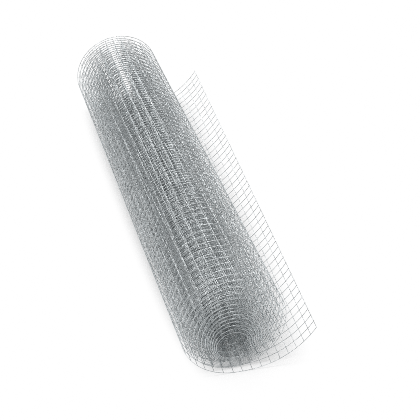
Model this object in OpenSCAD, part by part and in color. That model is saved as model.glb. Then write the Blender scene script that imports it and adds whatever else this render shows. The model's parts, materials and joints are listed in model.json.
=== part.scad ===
// Roll of galvanised spot-welded wire mesh, lying on its side with a loose end.
// The sheet is wound into a slack roll that sags: its turns pack together
// underneath and stand apart above the bore. The loose end lies flat where it
// leaves the roll, then curls up. It was pulled off a little askew, so its cross
// wires don't run quite along the roll and the outermost turn stands proud.
// +Y runs along the roll, +Z is up, and the loose end reaches out toward +X.
// The origin is at the middle of the footprint, on the floor.

/* [Mesh sheet] */
// Size of one square of the mesh, wire to wire (mm)
cell = 19; // [12:0.5:26]
// Diameter of the wire (mm)
wire_d = 1.0; // [0.8:0.1:1.6]
// Squares across the width of the sheet
cells_wide = 53; // [6:1:60]
// How far each cross wire runs past the middle of the outermost long wire (mm)
wire_stub = 1.5; // [0.8:0.1:4]
// How deep two wires sink into each other at a weld (mm)
weld_sink = 0.3; // [0.1:0.05:0.5]

/* [Roll] */
// Turns of mesh in the roll
turns = 13; // [4:1:16]
// Width of the roll across its outermost turn (mm)
roll_w = 209; // [180:1:260]
// Height of the roll across its outermost turn (mm)
roll_h = 212; // [160:1:260]
// Radius of the open bore (mm)
bore_r = 24; // [12:0.5:25]
// Diameter of the innermost turn, over its wires (mm)
inner_d = 53; // [53:1:80]
// Height of the innermost turn's underside above the floor (mm)
inner_rise = 27; // [27:0.5:44]
// How much wider apart the outer turns lie than the inner ones (share of the pitch)
slack = 0.3; // [0:0.05:0.5]
// How far the outermost turn stands out past the others at the near end (mm)
telescope = 14; // [4:0.5:24]
// Half angle at the underside where the turns lie packed on each other (deg)
packed_half = 37.5; // [22.5:7.5:60]

/* [Loose end] */
// Squares of mesh in the curl, from the floor to the cut edge
curl_cells = 9; // [4:1:12]
// Radius that the loose end curls up on (mm)
curl_r = 168; // [130:1:400]
// Flat run between the roll and the curl at the near end (mm)
flat_near = 13.5; // [4:0.5:40]
// How far the loose end is turned from the line of the roll (deg)
skew = 1.66; // [0:0.02:2.5]

/* [Hidden] */

steel = [0.70, 0.73, 0.73];
steel_dark = [0.60, 0.63, 0.64];

// Thickness of the welded sheet at a crossing
sheet_t = 2 * wire_d - weld_sink;
// Full width of the sheet, to the ends of its cross wires
sheet_w = cells_wide * cell + 2 * wire_stub;
// Far end of the roll, where the inner turns stand out
roll_end = sheet_w + telescope;

// How far out turn u lies: 1 is the outermost, 0 the innermost. The slack spreads
// the outer turns, so that the inner ones crowd round the bore.
function share(u) = let (t = 1 - u / turns) t - slack * t * (1 - t);

// The innermost turn is a circle round the bore; the outermost is an oval. The
// oval shrinks within its first turn, so it starts that much larger and the
// finished roll measures roll_w and roll_h.
in_r = inner_d / 2;
in_z = inner_rise + in_r;
in_top = in_z + in_r;
out_a = in_r + (roll_w - 2 * in_r) / (share(0.25) + share(0.75));
out_b = (in_top + (roll_h - in_top) / share(0.5)) / 2;

// The spiral, u turns in from the outermost: it starts underneath at x = 0 and
// climbs on the -X side first. Inset is measured inward from its outer face.
function mix(outer, inner, u) = inner + (outer - inner) * share(u);
function wind(u, inset) =
    let (f = -90 - 360 * u)
    [(mix(out_a, in_r, u) - inset) * cos(f),
     mix(out_b, in_z, u) + (mix(out_b, in_r, u) - inset) * sin(f)];

// Steps that one turn is drawn in
steps = 48;
packed_u = packed_half / 360;
open_steps = round(steps * (1 - 2 * packed_u));
function open_u(i) = packed_u + (1 - 2 * packed_u) * i / open_steps;

// The loose end in its own frame: x = 0 where the curl leaves the floor, flat on
// the -X side, with the cut edge at the top of the curl
curl_len = curl_cells * cell;
deg_per_mm = 180 / (PI * curl_r);
curl_end = (curl_len + wire_d / 2) * deg_per_mm;
outer_cells = floor(curl_cells / 2);
split_at = (curl_len - outer_cells * cell - wire_d / 2) * deg_per_mm;
flat_far = flat_near + sheet_w * tan(skew);
flat_wires = floor(flat_far / cell);

// Footprint, used to put the origin in its middle
curl_x = curl_r * sin(curl_end);
left_x = wind(0.25, 0)[0];
right_x = flat_near + curl_x * cos(skew) + sheet_w * sin(skew);
near_y = -curl_x * sin(skew);
centre = [(left_x + right_x) / 2, (near_y + roll_end) / 2];

module in_place() translate([-centre[0], -centre[1], 0]) children();

// Lays a profile drawn in X and Z along +Y, from y0 for a length of len
module along(y0, len)
    translate([0, y0 + len, 0]) rotate([90, 0, 0]) linear_extrude(len) children();

// Outline of everything from turn u0 inward, or inside that turn by inset
module outline(u0, inset = 0)
    polygon([for (i = [0:steps]) wind(u0 + i / steps, inset)]);

// Open crescent between turn k and the next one in
module crescent(k)
    polygon(concat(
        [for (i = [0:open_steps]) wind(k + open_u(i), sheet_t)],
        [for (i = [open_steps:-1:0]) wind(k + 1 + open_u(i), 0)]));

module bore()
    translate([0, -1, in_z]) rotate([-90, 0, 0])
        cylinder(r = bore_r, h = roll_end + 2, $fn = 96);

module wound_mesh() {
    color(steel) in_place() difference() {
        union() {
            along(0, sheet_w) outline(0);
            along(telescope, sheet_w) outline(1);
        }
        along(-1, telescope + 1) outline(0, sheet_t);
        for (k = [0:turns - 2]) along(telescope, sheet_w + 1) crescent(k);
        bore();
    }
}

// Band of the wire's thickness under the curl, between two angles from underneath
module curl_band(from, to) {
    reach = 2 * curl_r;
    translate([0, curl_r]) intersection() {
        difference() {
            circle(r = curl_r, $fn = 240);
            circle(r = curl_r - wire_d, $fn = 240);
        }
        polygon([[0, 0],
                 [reach * sin(from), -reach * cos(from)],
                 [reach * sin((from + to) / 2), -reach * cos((from + to) / 2)],
                 [reach * sin(to), -reach * cos(to)]]);
    }
}

// One cross wire on the inside of the sheet, s mm up the curl from the floor, or
// in the flat run where s is negative
module cross_wire(s) {
    lift = wire_d - weld_sink;
    if (s < 0)
        along(0, sheet_w) translate([s - wire_d / 2, lift]) square(wire_d);
    else
        along(0, sheet_w) translate([0, curl_r]) rotate(s * deg_per_mm)
            translate([-wire_d / 2, -curl_r + lift]) square(wire_d);
}

// Middle of long wire i across the sheet
function wire_y(i) = wire_stub + i * cell;

// The loose end's frame, turned from the roll and set beside its underside
module askew() translate([flat_near, 0, 0]) rotate([0, 0, -skew]) children();

// Everything on the roll's side of the line where the sheet leaves it
module roll_side() translate([-2 * cell, -cell, -1]) cube([2 * cell, roll_end + 2 * cell, cell]);

module loose_end_inner() {
    color(steel_dark) in_place() difference() {
        askew() {
            for (i = [0:cells_wide]) along(wire_y(i) - wire_d / 2, wire_d) {
                reach = flat_near + wire_y(i) * tan(skew) + wire_d;
                translate([-reach, 0]) square([reach, wire_d]);
                curl_band(0, split_at);
            }
            for (j = [-flat_wires:curl_cells - outer_cells - 1]) cross_wire(j * cell);
        }
        roll_side();
    }
}

module loose_end_outer() {
    color(steel_dark) in_place() askew() {
        for (i = [0:cells_wide])
            along(wire_y(i) - wire_d / 2, wire_d) curl_band(split_at, curl_end);
        for (j = [curl_cells - outer_cells:curl_cells]) cross_wire(j * cell);
    }
}

wound_mesh();
loose_end_inner();
loose_end_outer();
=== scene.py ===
"""Roll of galvanised welded wire mesh: every wire and weld, the zinc finish and the stage."""
import json
import math

import bpy
import numpy as np
from bpy.props import FloatProperty, FloatVectorProperty, IntProperty, PointerProperty
from mathutils import Matrix, Vector


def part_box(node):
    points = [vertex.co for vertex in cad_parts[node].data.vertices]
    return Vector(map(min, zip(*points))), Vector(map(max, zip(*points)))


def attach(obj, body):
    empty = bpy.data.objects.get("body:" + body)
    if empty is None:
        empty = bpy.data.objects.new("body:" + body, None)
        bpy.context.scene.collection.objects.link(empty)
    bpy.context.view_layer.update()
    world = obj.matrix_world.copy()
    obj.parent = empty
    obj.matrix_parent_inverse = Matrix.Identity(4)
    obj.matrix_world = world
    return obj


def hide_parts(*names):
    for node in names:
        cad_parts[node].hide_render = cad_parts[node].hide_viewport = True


bl_info = {
    "name": "Welded mesh roll",
    "version": (1, 0, 0),
    "blender": (4, 5, 0),
    "location": "View3D > Sidebar > Mesh roll",
    "description": "Winds a sheet of welded wire mesh into a slack roll with a curled loose end",
    "category": "Add Mesh",
}

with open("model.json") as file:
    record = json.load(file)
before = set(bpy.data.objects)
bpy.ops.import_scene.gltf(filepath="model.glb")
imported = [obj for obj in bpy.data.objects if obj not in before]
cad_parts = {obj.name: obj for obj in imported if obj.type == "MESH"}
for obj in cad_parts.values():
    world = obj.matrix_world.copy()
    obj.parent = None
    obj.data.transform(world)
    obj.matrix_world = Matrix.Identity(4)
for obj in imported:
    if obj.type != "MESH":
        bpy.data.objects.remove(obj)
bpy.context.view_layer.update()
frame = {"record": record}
WOUND_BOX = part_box("wound_mesh")
BORE = next(m for m in frame["record"]["mounts"] if m["name"] == "bore")
NODES = ("wound_mesh", "loose_end_inner", "loose_end_outer")

MM = 0.001

# How far the crown of each turn lies below the outermost one, at the near end and in the body of
# the roll. The turns close up toward the far end and open a little as they go deeper: at y along
# the roll, a drop of d from these lists is d / (1 + y / CLOSING - OPENING d).
NEAR_CROWNS = MM * np.array([0, 18.65, 33.81, 45.19, 56.56, 71.72, 79.3,
                             86.89, 94.47, 102.05, 109.63, 117.21, 124.79])
BODY_CROWNS = MM * np.array([0, 11.07, 18.65, 26.23, 33.81, 41.4, 48.98,
                             56.56, 64.14, 86.89, 102.05, 124.79, 139.96])
CLOSING, OPENING = 2.1, 0.597
# How far the side of each turn lies inside the outermost one, at the near end and at the far end
NEAR_SIDES = MM * np.array([0, 9.5, 17.5, 26.5, 34.5, 42.5, 50.5,
                            55, 59.5, 63.5, 67.5, 71.5, 75.5])
FAR_SIDES = MM * np.array([0, 8.5, 15.5, 23, 30.5, 37.5, 44.5,
                           49, 53, 56.5, 60, 63.5, 67])
TURNS = len(NEAR_CROWNS)
# Turns are counted from the roll's underside: their left sides and crowns come this much later
SIDE_AT, CROWN_AT = 0.25, 0.5
# The part of each turn in which it passes the nest line, in turns from its underside
NEST_PART = (0.25, 0.44)

# The gap between turns that their straying is a share of, and the part of the outermost turn
# over which straying sets in
STRAY_GAP, STRAY_ONSET = 8 * MM, 0.6
# How many turns on the outside stray less, and by what share the outermost does
CALM_TURNS, CALM_SHARE = 1.2, 0.6
# Shares of the straying that neighbours have in common and that a turn has to itself, and how
# far the sides of the roll stray, as a share of what its crown does
SHARED_STRAY, SINGLE_STRAY, SIDE_STRAY = 0.6, 0.5, 0.5

# Length of the sheet over which its skew eases off
SKEW_EASE = 0.30
# Rows in the tables of the flat sheet and of the turns, and points along a wire of each kind
SHEET_ROWS, TURN_ROWS = 6000, 9000
LONG_POINTS, CROSS_POINTS = 760, 22
# Groups that the long wires are made in
LONG_GROUPS = 4
# A weld bead's radius and half thickness, as shares of the wire
BEAD_RADIUS, BEAD_THICKNESS = 0.78, 0.45
# Cross wires stop this much short of the sheet's far edge, to stay within the solid
END_GAP = 0.02 * MM

# Width of the lamps as seen from the roll, how many make the strip, and how low the floor lies
LAMP_WIDTH = math.radians(20)
STRIP_LAMPS = 4
FLOOR_DROP = 0.2 * MM

# Where the underside of the roll touches the floor, and where the sheet's near edge starts there
ROLL_X = BORE["pos_m"][0]
ROLL_Y = float(WOUND_BOX[0][1])


def length(name, default, description, **options):
    """A length in metres for the sidebar."""
    return FloatProperty(name=name, default=default, description=description,
                         subtype="DISTANCE", unit="LENGTH", precision=5, **options)


def colour(name, default, description):
    """A colour for the sidebar."""
    return FloatVectorProperty(name=name, default=default, description=description,
                               subtype="COLOR", size=3, min=0, max=1)


class MeshSheetSettings(bpy.types.PropertyGroup):
    """Sizes of the welded sheet before it is wound."""
    cell: length("Square", 0.019, "One square of the mesh, wire to wire")
    wire: length("Wire", 0.001, "Diameter of the wire")
    cells_wide: IntProperty(name="Squares across", default=53, min=4,
                            description="Squares across the width of the sheet")
    cells_long: IntProperty(name="Squares along", default=280, min=20,
                            description="Squares along the length of the sheet")
    stub: length("Stub", 0.0015, "How far each cross wire runs past the outermost long wire")
    sink: length("Weld sink", 0.0003, "How deep two wires sink into each other at a weld")
    wander: length("Wander", 0.0001, "How far a wire strays from its even place")
    sides: IntProperty(name="Wire sides", default=6, min=3, description="Sides of each wire")


class RollSettings(bpy.types.PropertyGroup):
    """Sizes of the wound roll and of its loose end."""
    near_half_width: length("Near half width", 0.1062, "Half the roll's width at its near end")
    far_half_width: length("Far half width", 0.0992, "Half the roll's width at its far end")
    near_height: length("Near height", 0.2114, "The roll's height at its near end")
    far_height: length("Far height", 0.1924, "The roll's height at its far end")
    inner_rise: length("Bore rise", 0.0270, "Height of the innermost turn above the floor")
    flare_start: FloatProperty(name="Flare start", default=0.15, min=0, max=1, subtype="FACTOR",
                               description="Share of the width up to which the near spacing runs")
    flare_end: FloatProperty(name="Flare end", default=0.42, min=0, max=1, subtype="FACTOR",
                             description="Share of the width from which the body's spacing runs")
    telescope: length("Telescope", 0.014, "How far the outermost turn stands out")
    skew: FloatProperty(name="Skew", default=math.radians(1.66), subtype="ANGLE",
                        unit="ROTATION", description="How far the loose end is off the square")
    curl_radius: length("Curl radius", 0.168, "Radius that the loose end curls up on")
    curl_cells: IntProperty(name="Curl squares", default=9, min=1,
                            description="Squares in the curl, from the floor to the cut edge")
    flat_run: length("Flat run", 0.0135, "Flat run between the roll and the curl, near end")
    nest_angle: FloatProperty(name="Nest angle", default=math.radians(111), subtype="ANGLE",
                              unit="ROTATION",
                              description="Direction round the roll in which cross wires line up")
    nest_line: length("Nest line", -0.013, "How far right of the roll's underside they line up")
    unrest: FloatProperty(name="Unrest", default=0.03, min=0, max=2,
                          description="How unevenly the turns lie, as a share of their gaps")


class FinishSettings(bpy.types.PropertyGroup):
    """The zinc finish."""
    zinc: colour("Zinc", (0.80, 0.83, 0.84), "The zinc's colour")
    dull_zinc: colour("Dull zinc", (0.46, 0.49, 0.50), "The zinc where it has dulled")
    roughness: FloatProperty(name="Roughness", default=0.17, min=0, max=1,
                             description="Roughness of the zinc")


class StageSettings(bpy.types.PropertyGroup):
    """The floor, the light and the camera."""
    floor: colour("Floor", (0.95, 0.95, 0.95), "The floor's colour")
    half_size: length("Floor half size", 9.0, "Half the side of the floor")
    floor_white: FloatProperty(name="Floor white", default=1.0, min=0, max=1,
                               subtype="FACTOR",
                               description="Share of plain white on the floor off the roll")
    shade_half: FloatVectorProperty(name="Shade", size=2, default=(0.10, 0.47), subtype="XYZ",
                                    unit="LENGTH",
                                    description="Half size of the part of the floor that shows "
                                                "the light as it falls")
    shade_shift: length("Shade shift", 0.09, "How far that part lies toward the roll's far end")
    shade_fade: FloatProperty(name="Shade fade", default=1.45, min=1,
                              description="Where the floor is all white, as a multiple of that "
                                          "half size")
    surround: FloatProperty(name="Surround", default=0.42, min=0,
                            description="Strength of the even light from all sides")
    key: FloatProperty(name="Strip light", default=2.1, min=0,
                       description="Strength of the strip of light over the roll")
    strip_left: FloatProperty(name="Strip left", default=math.radians(40), subtype="ANGLE",
                              unit="ROTATION",
                              description="How far the strip of light reaches left of overhead")
    strip_right: FloatProperty(name="Strip right", default=math.radians(15), subtype="ANGLE",
                               unit="ROTATION",
                               description="How far the strip of light reaches right of overhead")
    back: FloatProperty(name="Back lamp", default=0.5, min=0,
                        description="Strength of the lamp behind the roll")
    lens: FloatProperty(name="Lens", default=130.56, min=1, description="Focal length in mm")
    eye: FloatVectorProperty(name="Eye", default=(-0.6635, -2.6138, 1.8766), size=3,
                             subtype="TRANSLATION", unit="LENGTH", description="Camera's place")
    gaze: FloatVectorProperty(name="Gaze", default=(0.2168, 0.7958, -0.5655), size=3,
                              description="Direction that the camera looks in")


# ---------------------------------------------------------------- the sheet

def smooth_step(t):
    """0 below t = 0, 1 above t = 1, and 3t^2 - 2t^3 between."""
    t = np.clip(t, 0.0, 1.0)
    return t * t * (3.0 - 2.0 * t)


def waves(rng, count, u_rates, y_rates):
    """Rates, phases and strengths of sine waves over the turns and the width."""
    return (rng.uniform(*u_rates, count), rng.uniform(*y_rates, count),
            rng.uniform(0, 2 * math.pi, count), rng.normal(0, 1, count) / math.sqrt(count))


class Winding:
    """The wound sheet as a surface.

    A point of the sheet is s along it from the cut edge and w across it from its near edge. Laid
    out flat, its run turns from the skew to square on the roll, so x and y of the flat sheet are
    x = flat_run - integral(cos h) ds + w sin h and y = integral(sin h) ds + w cos h, with h the
    heading at s. Where x > 0 the sheet lies on the floor, and beyond its last squares it curls up
    on a circle. Where x < 0 it is wound: the length -x gives the turn u, and the point is
    (a cos f, foot + b + b sin f) with f = -90 degrees - 360 degrees * u: an oval of half width a
    and half height b that stands foot above the floor. a and b change with u and y, foot with u.
    """

    def __init__(self, sheet, roll):
        self.sheet, self.roll = sheet, roll
        self.width = sheet.cells_wide * sheet.cell + 2 * sheet.stub
        self.curl = roll.curl_cells * sheet.cell
        self.total = sheet.cells_long * sheet.cell
        rng = np.random.default_rng(41)
        self.shared = waves(rng, 7, (0.6, 3.4), (0.2, 1.6))
        self.single = waves(rng, 9, (1.5, 6.5), (0.4, 2.6))
        # x and y of the flat sheet's near edge, tabled along the sheet and a little past its end
        self.s_table = np.linspace(self.curl, self.total + 0.1, SHEET_ROWS)
        step = self.s_table[1] - self.s_table[0]
        heading = self.heading(self.s_table)
        middle = (heading[1:] + heading[:-1]) / 2
        self.x_table = roll.flat_run - np.concatenate([[0], np.cumsum(np.cos(middle))]) * step
        self.y_table = np.concatenate([[0], np.cumsum(np.sin(middle))]) * step
        # Length wound up to each turn, at the middle of the sheet
        self.u_table = np.linspace(0, TURNS + 1, TURN_ROWS)
        halfway = np.full(TURN_ROWS, self.width / 2)
        x, z = self.section(self.u_table, halfway, np.zeros(TURN_ROWS), calm=True)
        gone = np.hypot(np.diff(x), np.diff(z))
        self.wound_table = np.concatenate([[0], np.cumsum(gone)])
        across = x * math.sin(roll.nest_angle) - z * math.cos(roll.nest_angle)
        self.wound_table += self.nesting(across)

    def nesting(self, across):
        """Small stretches of the wound length that bring the cross wires of all turns into line.

        Seen along the nest angle, each turn passes the nest line once on its way from its left
        side to its crown. There its length gains or loses the least amount that puts a cross
        wire, or the middle of a square, on that line.
        """
        half = self.sheet.cell / 2
        wire = -self.x_table[-1] - self.s_table[-1]
        marks, gains = [], [0.0]
        for turn in range(TURNS):
            part = (self.u_table > turn + NEST_PART[0]) & (self.u_table < turn + NEST_PART[1])
            mark = np.interp(self.roll.nest_line, across[part], self.u_table[part])
            wound = np.interp(mark, self.u_table, self.wound_table)
            marks.append(mark)
            gains.append(gains[-1] + (wire - wound - gains[-1] + half / 2) % half - half / 2)
        return np.interp(self.u_table, marks, gains[1:])

    def heading(self, s):
        """The skew held past the curl, then eased to square so that the shift is the telescope."""
        hold = self.roll.telescope / math.sin(self.roll.skew) - SKEW_EASE / 2
        return self.roll.skew * (1 - smooth_step((s - self.curl - hold) / SKEW_EASE))

    @staticmethod
    def by_turn(u, table, offset):
        """A value listed turn by turn, each at its turn plus offset, run on past both ends."""
        first, last = table[:1] - (table[1] - table[0]), table[-1:] + (table[-1] - table[-2])
        at = np.arange(-1, len(table) + 1) + offset
        return np.interp(u, at, np.concatenate([first, table, last]))

    def ripple(self, wave, u, y):
        """Sum of sines over the turn number u and the share of the width."""
        rate_u, rate_y, phase, strength = wave
        v = y / self.width
        return sum(k * np.sin(2 * math.pi * (p * u + q * v) + c)
                   for p, q, c, k in zip(rate_u, rate_y, phase, strength))

    def section(self, u, y, inset, calm=False):
        """x and z of the winding at turn u, y along the roll, inset from its outer face."""
        roll = self.roll
        v = np.clip(y / self.width, 0, 1)
        half_width = roll.near_half_width + (roll.far_half_width - roll.near_half_width) * v
        height = roll.near_height + (roll.far_height - roll.near_height) * v
        near_side = self.by_turn(u, NEAR_SIDES, SIDE_AT)
        far_side = self.by_turn(u, FAR_SIDES, SIDE_AT)
        a = half_width - near_side - (far_side - near_side) * v
        near_crown = self.by_turn(u, NEAR_CROWNS, CROWN_AT)
        body_crown = self.by_turn(u, BODY_CROWNS, CROWN_AT)
        past_flare = (v - roll.flare_start) / (roll.flare_end - roll.flare_start)
        drop = near_crown + (body_crown - near_crown) * smooth_step(past_flare)
        top = height - drop / (1 + y / CLOSING - OPENING * drop)
        foot = roll.inner_rise * u / TURNS
        f = -math.pi / 2 - 2 * math.pi * u
        if not calm:
            # Crowns stray most, sides less, and undersides rest where they are
            onset = smooth_step(u / STRAY_ONSET)
            onset *= 1 - CALM_SHARE * smooth_step(1 - u / CALM_TURNS)
            stray = roll.unrest * STRAY_GAP * onset * (
                SHARED_STRAY * self.ripple(self.shared, u, y)
                + SINGLE_STRAY * self.ripple(self.single, u, y))
            a = a + SIDE_STRAY * stray
            top = top + stray
        b = (top - foot) / 2
        return (a - inset) * np.cos(f), foot + b + (b - inset) * np.sin(f)

    def place(self, s, w, inset):
        """Points of the sheet: s, w and inset broadcast together, and xyz is the last axis."""
        roll = self.roll
        s, w, inset = np.broadcast_arrays(s, w, inset)
        heading = self.heading(s)
        x = np.interp(s, self.s_table, self.x_table) + w * np.sin(heading)
        y = np.interp(s, self.s_table, self.y_table) + w * np.cos(heading)
        # Wound part
        u = np.interp(np.maximum(-x, 0), self.wound_table, self.u_table)
        wound_x, wound_z = self.section(u, y, inset)
        out = np.where(x < 0, wound_x, x)
        up = np.where(x < 0, wound_z, inset)
        # Curl
        turn = np.maximum(self.curl - s, 0) / roll.curl_radius
        reach = (roll.curl_radius - inset) * np.sin(turn)
        curled = s < self.curl
        flat_x = roll.flat_run + reach * math.cos(roll.skew) + w * math.sin(roll.skew)
        flat_y = -reach * math.sin(roll.skew) + w * math.cos(roll.skew)
        out = np.where(curled, flat_x, out)
        y = np.where(curled, flat_y, y)
        up = np.where(curled, roll.curl_radius - (roll.curl_radius - inset) * np.cos(turn), up)
        return np.stack([out + ROLL_X, y + ROLL_Y, up], axis=-1)


# ---------------------------------------------------------------- meshes

def lay_mesh(name, points, faces):
    """A mesh object from an array of points and arrays of faces, smooth shaded."""
    mesh = bpy.data.meshes.new(name)
    mesh.vertices.add(len(points))
    mesh.vertices.foreach_set("co", np.ascontiguousarray(points, dtype=np.float32).ravel())
    corners = np.concatenate([f.ravel() for f in faces]).astype(np.int32)
    sizes = np.concatenate([np.full(len(f), f.shape[1]) for f in faces]).astype(np.int32)
    mesh.loops.add(len(corners))
    mesh.loops.foreach_set("vertex_index", corners)
    mesh.polygons.add(len(sizes))
    starts = np.concatenate([[0], np.cumsum(sizes)[:-1]]).astype(np.int32)
    mesh.polygons.foreach_set("loop_start", starts)
    mesh.polygons.foreach_set("use_smooth", np.ones(len(sizes), dtype=bool))
    mesh.update(calc_edges=True)
    if mesh.validate():
        raise RuntimeError(name + " has faulty faces")
    piece = bpy.data.objects.new(name, mesh)
    bpy.context.collection.objects.link(piece)
    return piece


def unit(vectors):
    """Each vector divided by its length."""
    return vectors / np.linalg.norm(vectors, axis=-1, keepdims=True)


def draw_wires(name, paths, radius, sides, side_axis):
    """Round wires along paths (wires, points, xyz), closed at both ends.

    Ring point j of a path point is p + radius (cos q n + sin q b), q = 2 pi j / sides, with n the
    side axis squared to the path and b = path direction x n. Another ring lies half a radius from
    each end, so that the closed end bends the smooth shading of its own rim only.
    """
    first = paths[:, :1] + radius / 2 * unit(paths[:, 1:2] - paths[:, :1])
    last = paths[:, -1:] + radius / 2 * unit(paths[:, -2:-1] - paths[:, -1:])
    paths = np.concatenate([paths[:, :1], first, paths[:, 1:-1], last, paths[:, -1:]], axis=1)
    wires, count, _ = paths.shape
    along = unit(np.gradient(paths, axis=1))
    axis = np.broadcast_to(np.asarray(side_axis, float), paths.shape)
    n = unit(axis - along * np.sum(axis * along, axis=-1, keepdims=True))
    b = np.cross(along, n)
    q = 2 * math.pi * np.arange(sides) / sides
    rings = (paths[:, :, None, :] + radius * (np.cos(q)[:, None] * n[:, :, None, :]
                                              + np.sin(q)[:, None] * b[:, :, None, :]))
    index = np.arange(wires * count * sides).reshape(wires, count, sides)
    after = np.roll(index, -1, axis=2)
    quads = np.stack([index[:, :-1], after[:, :-1], after[:, 1:], index[:, 1:]], axis=-1)
    starts, ends = index[:, 0, ::-1], index[:, -1, :]
    return lay_mesh(name, rings.reshape(-1, 3), [quads.reshape(-1, 4), starts, ends])


def draw_welds(name, centres, along, outward, radius, thickness):
    """Small eight-sided beads: the corners stand radius along and across, thickness in and out."""
    across = np.cross(along, outward)
    arms = np.stack([along * radius, across * radius, -along * radius, -across * radius,
                     outward * thickness, -outward * thickness], axis=1)
    points = centres[:, None, :] + arms
    ring = np.array([[0, 1, 4], [1, 2, 4], [2, 3, 4], [3, 0, 4],
                     [1, 0, 5], [2, 1, 5], [3, 2, 5], [0, 3, 5]])
    faces = ring[None] + 6 * np.arange(len(centres))[:, None, None]
    return lay_mesh(name, points.reshape(-1, 3), [faces.reshape(-1, 3)])


def places(sheet):
    """Where the long wires and the cross wires lie, each strayed a little from its even place."""
    rng = np.random.default_rng(7)
    w = sheet.stub + sheet.cell * np.arange(sheet.cells_wide + 1)
    s = sheet.cell * np.arange(sheet.cells_long + 1)
    w[1:-1] += np.clip(rng.normal(0, sheet.wander, len(w) - 2), -3 * sheet.wander, 3 * sheet.wander)
    s[1:] += np.clip(rng.normal(0, sheet.wander, len(s) - 1), -3 * sheet.wander, 3 * sheet.wander)
    return s, w


# ---------------------------------------------------------------- finish

def zinc_finish(settings):
    """Galvanised steel: dull and bright spangles a few millimetres wide, with a faint grain."""
    material = bpy.data.materials.get("galvanised_wire_finish")
    if material:
        return material
    material = bpy.data.materials.new("galvanised_wire_finish")
    material.use_nodes = True
    tree = material.node_tree
    tree.nodes.clear()
    new, link = tree.nodes.new, tree.links.new
    out, skin = new("ShaderNodeOutputMaterial"), new("ShaderNodeBsdfPrincipled")
    place = new("ShaderNodeTexCoord")
    spangle = new("ShaderNodeTexVoronoi")
    bloom, grain = new("ShaderNodeTexNoise"), new("ShaderNodeTexNoise")
    spangle.inputs["Scale"].default_value = 260.0
    bloom.inputs["Scale"].default_value = 38.0
    bloom.inputs["Detail"].default_value = 3.0
    grain.inputs["Scale"].default_value = 2600.0
    grain.inputs["Detail"].default_value = 2.0
    for texture in (spangle, bloom, grain):
        link(place.outputs["Object"], texture.inputs["Vector"])
    tone = new("ShaderNodeMath")
    tone.operation = "MULTIPLY_ADD"
    tone.inputs[1].default_value = 0.35
    link(spangle.outputs["Color"], tone.inputs[0])
    link(bloom.outputs["Fac"], tone.inputs[2])
    ramp = new("ShaderNodeMapRange")
    ramp.inputs["From Min"].default_value = 0.35
    ramp.inputs["From Max"].default_value = 0.95
    link(tone.outputs[0], ramp.inputs["Value"])
    mix = new("ShaderNodeMix")
    mix.data_type = "RGBA"
    mix.inputs["A"].default_value = (*settings.dull_zinc, 1)
    mix.inputs["B"].default_value = (*settings.zinc, 1)
    link(ramp.outputs["Result"], mix.inputs["Factor"])
    link(mix.outputs["Result"], skin.inputs["Base Color"])
    shine = new("ShaderNodeMapRange")
    shine.inputs["To Min"].default_value = settings.roughness + 0.16
    shine.inputs["To Max"].default_value = settings.roughness - 0.06
    link(ramp.outputs["Result"], shine.inputs["Value"])
    link(shine.outputs["Result"], skin.inputs["Roughness"])
    bump = new("ShaderNodeBump")
    bump.inputs["Strength"].default_value = 0.25
    bump.inputs["Distance"].default_value = 0.00008
    link(grain.outputs["Fac"], bump.inputs["Height"])
    link(bump.outputs["Normal"], skin.inputs["Normal"])
    skin.inputs["Metallic"].default_value = 1.0
    link(skin.outputs["BSDF"], out.inputs["Surface"])
    return material


def hand_over(piece):
    """Gives a piece its finish and lets it stand for the plain solids."""
    piece.data.materials.append(zinc_finish(bpy.context.scene.mesh_roll_finish))
    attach(piece, "root")
    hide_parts(*NODES)


# ---------------------------------------------------------------- operators

class MESHROLL_OT_long_wires(bpy.types.Operator):
    """Lay the wires that run along the sheet and round the roll"""
    bl_idname = "meshroll.long_wires"
    bl_label = "Long wires"

    def execute(self, context):
        sheet, roll = context.scene.mesh_roll_sheet, context.scene.mesh_roll
        winding = Winding(sheet, roll)
        s, w = places(sheet)
        run = np.interp(np.linspace(0, 1, LONG_POINTS), np.linspace(0, 1, len(s)), s)
        radius = sheet.wire / 2
        run[0] -= radius
        run[-1] += radius
        for k, group in enumerate(np.array_split(w, LONG_GROUPS)):
            paths = winding.place(run[None, :], group[:, None], radius)
            name = f"long_wires_{k + 1}"
            hand_over(draw_wires(name, paths, radius, sheet.sides, (0, 1, 0)))
        return {"FINISHED"}


class MESHROLL_OT_cross_wires(bpy.types.Operator):
    """Lay the wires that run across the sheet, on its inside"""
    bl_idname = "meshroll.cross_wires"
    bl_label = "Cross wires"

    def execute(self, context):
        sheet, roll = context.scene.mesh_roll_sheet, context.scene.mesh_roll
        winding = Winding(sheet, roll)
        s, w = places(sheet)
        across = np.interp(np.linspace(0, 1, CROSS_POINTS), np.linspace(0, 1, len(w)), w)
        across = np.concatenate([[0.0], across[1:-1], [winding.width - END_GAP]])
        paths = winding.place(s[:, None], across[None, :], 1.5 * sheet.wire - sheet.sink)
        hand_over(draw_wires("cross_wires", paths, sheet.wire / 2, sheet.sides, (1, 0, 0)))
        return {"FINISHED"}


class MESHROLL_OT_welds(bpy.types.Operator):
    """Put a bead of weld at every crossing"""
    bl_idname = "meshroll.welds"
    bl_label = "Welds"

    def execute(self, context):
        sheet, roll = context.scene.mesh_roll_sheet, context.scene.mesh_roll
        winding = Winding(sheet, roll)
        s, w = places(sheet)
        depth = sheet.wire - sheet.sink / 2
        centres = winding.place(s[:, None], w[None, :], depth).reshape(-1, 3)
        inner = winding.place(s[:, None], w[None, :], 2 * depth).reshape(-1, 3)
        ahead = winding.place(s[:, None] + MM, w[None, :], depth).reshape(-1, 3)
        outward, along = unit(centres - inner), ahead - centres
        along = unit(along - outward * np.sum(along * outward, axis=-1, keepdims=True))
        hand_over(draw_welds("welds", centres, along, outward,
                             BEAD_RADIUS * sheet.wire, BEAD_THICKNESS * sheet.wire))
        return {"FINISHED"}


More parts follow.
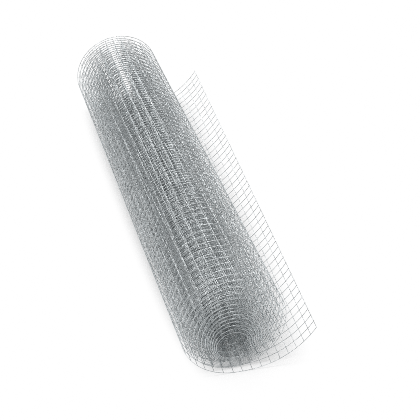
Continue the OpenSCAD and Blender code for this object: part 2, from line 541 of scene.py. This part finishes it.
class MESHROLL_OT_stage(bpy.types.Operator):
    """Set the floor, the soft light and the camera"""
    bl_idname = "meshroll.stage"
    bl_label = "Stage"

    def execute(self, context):
        scene, stage = context.scene, context.scene.mesh_roll_stage
        half = stage.half_size
        corners = np.array([[-half, -half, 0], [half, -half, 0], [half, half, 0], [-half, half, 0]])
        floor = lay_mesh("floor", corners - [0, 0, FLOOR_DROP], [np.array([[0, 1, 2, 3]])])
        floor.data.materials.append(floor_finish(stage))
        even_light(scene, stage)
        # The back lamp lights the cross wires, and a strip of lamps leaning from side to side
        # over the roll lights the long wires
        hang_lamp("back_lamp", (1, 3, 2), (-0.25, -0.8, -0.5), stage.back)
        for lean in np.linspace(-stage.strip_left, stage.strip_right, STRIP_LAMPS):
            right, up = math.sin(lean), math.cos(lean)
            hang_lamp("soft_lamp", (right, 0, 3), (-right, 0, -up), stage.key / STRIP_LAMPS)
        camera = bpy.data.cameras.new("camera")
        camera.lens, camera.sensor_width, camera.clip_end = stage.lens, 36.0, 60.0
        eye = bpy.data.objects.new("camera", camera)
        eye.matrix_world = aim(stage.eye, stage.gaze)
        context.collection.objects.link(eye)
        scene.camera = eye
        # The denoiser and a wide filter both smear wires as thin as these into a grey skin
        scene.cycles.use_denoising = False
        scene.cycles.filter_width = 0.9
        scene.view_settings.view_transform = "Standard"
        return {"FINISHED"}


def aim(place, direction):
    """A lamp or camera at a place, looking in a direction and level."""
    turn = Vector(direction).to_track_quat("-Z", "Y").to_matrix().to_4x4()
    return Matrix.Translation(Vector(place)) @ turn


def hang_lamp(name, place, direction, strength):
    """A wide soft lamp that shines in a direction."""
    lamp = bpy.data.lights.new(name, "SUN")
    lamp.angle, lamp.energy = LAMP_WIDTH, strength
    holder = bpy.data.objects.new(name, lamp)
    holder.matrix_world = aim(place, direction)
    bpy.context.collection.objects.link(holder)


def seen_directly(tree):
    """1 for what the camera, a reflection or glass shows, else 0."""
    path = tree.nodes.new("ShaderNodeLightPath")
    total = path.outputs["Is Camera Ray"]
    for name in ("Is Glossy Ray", "Is Transmission Ray"):
        add = tree.nodes.new("ShaderNodeMath")
        add.operation = "MAXIMUM"
        tree.links.new(total, add.inputs[0])
        tree.links.new(path.outputs[name], add.inputs[1])
        total = add.outputs[0]
    return total


def floor_finish(stage):
    """A pale floor that takes the roll's shadow, and further out shows plain white.

    The white grows with sqrt(x^4 + y^4), where x and y are shares of the half size of the shaded
    part, so that this part is a box with round corners.
    """
    material = bpy.data.materials.new("floor_finish")
    material.use_nodes = True
    tree = material.node_tree
    tree.nodes.clear()
    new, link = tree.nodes.new, tree.links.new
    out = new("ShaderNodeOutputMaterial")
    paint, glow = new("ShaderNodeBsdfDiffuse"), new("ShaderNodeEmission")
    paint.inputs["Color"].default_value = (*stage.floor, 1)
    glow.inputs["Strength"].default_value = 1.0
    place, squash = new("ShaderNodeTexCoord"), new("ShaderNodeVectorMath")
    square, reach = new("ShaderNodeVectorMath"), new("ShaderNodeVectorMath")
    squash.operation, square.operation, reach.operation = "MULTIPLY_ADD", "MULTIPLY", "LENGTH"
    squash.inputs[1].default_value = (1 / stage.shade_half[0], 1 / stage.shade_half[1], 0)
    squash.inputs[2].default_value = (0, -stage.shade_shift / stage.shade_half[1], 0)
    fade = new("ShaderNodeMapRange")
    fade.interpolation_type = "SMOOTHSTEP"
    fade.inputs["From Min"].default_value = 1.0
    fade.inputs["From Max"].default_value = stage.shade_fade ** 2
    fade.inputs["To Max"].default_value = stage.floor_white
    share, mix = new("ShaderNodeMath"), new("ShaderNodeMixShader")
    share.operation = "MULTIPLY"
    link(place.outputs["Object"], squash.inputs[0])
    link(squash.outputs["Vector"], square.inputs[0])
    link(squash.outputs["Vector"], square.inputs[1])
    link(square.outputs["Vector"], reach.inputs[0])
    link(reach.outputs["Value"], fade.inputs["Value"])
    link(fade.outputs["Result"], share.inputs[0])
    link(seen_directly(tree), share.inputs[1])
    link(share.outputs[0], mix.inputs["Fac"])
    link(paint.outputs["BSDF"], mix.inputs[1])
    link(glow.outputs["Emission"], mix.inputs[2])
    link(mix.outputs["Shader"], out.inputs["Surface"])
    return material


def even_light(scene, stage):
    """A dim white light that is the same from all sides."""
    world = bpy.data.worlds.new("even_light")
    scene.world = world
    world.use_nodes = True
    back = world.node_tree.nodes["Background"]
    back.inputs["Color"].default_value = (1, 1, 1, 1)
    back.inputs["Strength"].default_value = stage.surround


class MESHROLL_PT_panel(bpy.types.Panel):
    """Mesh roll"""
    bl_idname = "MESHROLL_PT_panel"
    bl_label = "Mesh roll"
    bl_space_type = "VIEW_3D"
    bl_region_type = "UI"
    bl_category = "Mesh roll"

    def draw(self, context):
        for group, operators in (("mesh_roll_sheet", ()),
                                 ("mesh_roll", (MESHROLL_OT_long_wires, MESHROLL_OT_cross_wires,
                                                MESHROLL_OT_welds)),
                                 ("mesh_roll_finish", ()),
                                 ("mesh_roll_stage", (MESHROLL_OT_stage,))):
            box = self.layout.box()
            settings = getattr(context.scene, group)
            for name in settings.__annotations__:
                box.prop(settings, name)
            for operator in operators:
                box.operator(operator.bl_idname)


SETTINGS = {"mesh_roll_sheet": MeshSheetSettings, "mesh_roll": RollSettings,
            "mesh_roll_finish": FinishSettings, "mesh_roll_stage": StageSettings}
OPERATORS = (MESHROLL_OT_long_wires, MESHROLL_OT_cross_wires, MESHROLL_OT_welds, MESHROLL_OT_stage)


def register():
    for name, settings in SETTINGS.items():
        bpy.utils.register_class(settings)
        setattr(bpy.types.Scene, name, PointerProperty(type=settings))
    for operator in OPERATORS + (MESHROLL_PT_panel,):
        bpy.utils.register_class(operator)


def unregister():
    for operator in OPERATORS + (MESHROLL_PT_panel,):
        bpy.utils.unregister_class(operator)
    for name, settings in SETTINGS.items():
        delattr(bpy.types.Scene, name)
        bpy.utils.unregister_class(settings)


def main():
    register()
    bpy.ops.meshroll.long_wires()
    bpy.ops.meshroll.cross_wires()
    bpy.ops.meshroll.welds()
    bpy.ops.meshroll.stage()
    bpy.context.view_layer.update()


if __name__ == "__main__":
    main()
